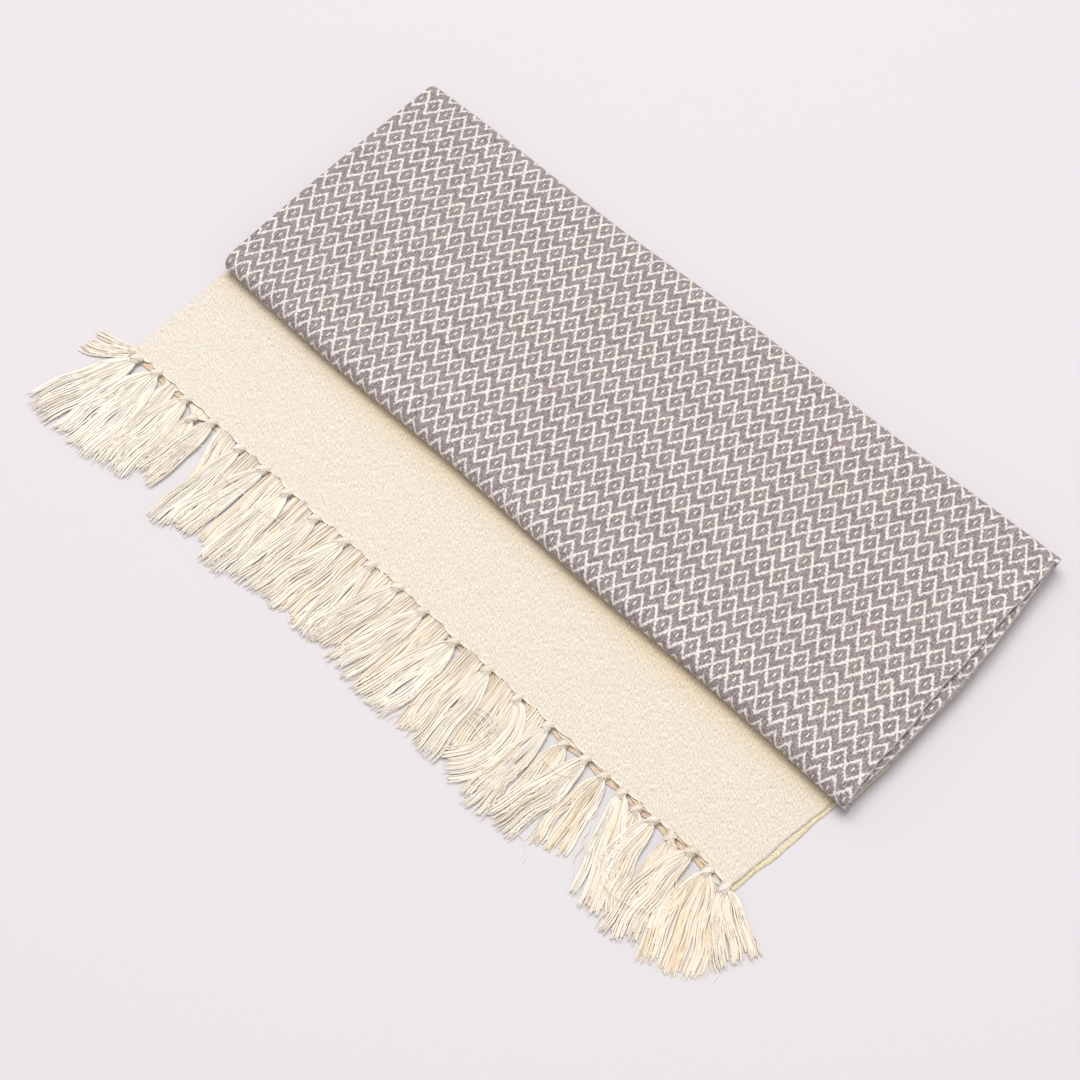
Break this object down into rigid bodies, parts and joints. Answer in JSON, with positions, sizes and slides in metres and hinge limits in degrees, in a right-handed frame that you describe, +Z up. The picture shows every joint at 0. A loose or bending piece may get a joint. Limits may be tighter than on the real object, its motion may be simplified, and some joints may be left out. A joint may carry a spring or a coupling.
{
  "type": "folded hammam towel",
  "caption": "Hammam towel in grey and cream diamond weave, doubled across its width and folded flat, its cream end band and knotted fringe lying open in front.",
  "frame": {"origin": "on the floor, under the middle of the towel's box", "axes": "+X along the long folds towards the selvedges, +Y from the fringe to the back fold, +Z up"},
  "size_m": [0.5266, 0.356, 0.0172],
  "materials": {
    "woven_cotton": "matt grey and cream diamond weave with a plain cream end band",
    "cotton_yarn": "matt cream twisted yarn, knotted"
  },
  "bodies": {
    "root": {"towel_cloth": "woven_cotton", "fringe": "cotton_yarn"}
  },
  "joints": []
}
